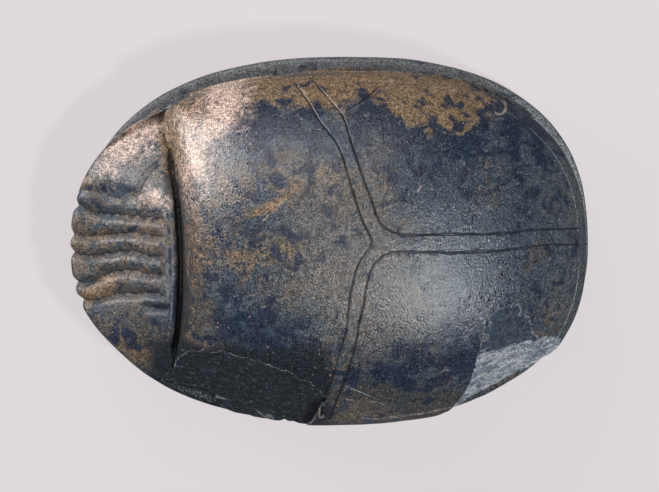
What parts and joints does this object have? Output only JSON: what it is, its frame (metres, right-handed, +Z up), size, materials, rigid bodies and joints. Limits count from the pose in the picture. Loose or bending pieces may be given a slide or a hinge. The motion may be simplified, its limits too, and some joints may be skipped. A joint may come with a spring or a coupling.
{
  "type": "scarab amulet",
  "caption": "Scarab amulet carved from mottled blue-grey stone, with engraved wing cases, a ridged head, legs in low relief, old chips and a flat oval base.",
  "frame": {"origin": "on the flat underside, below the middle of the whole piece", "axes": "+Z up through the back, the head looks along -X and the tail along +X"},
  "size_m": [0.0466, 0.0326, 0.0194],
  "materials": {
    "stone": "worn polish, mottled navy, grey and ochre, with a fine sparkle and dull broken places"
  },
  "bodies": {
    "root": {"scarab": "stone"}
  },
  "joints": []
}
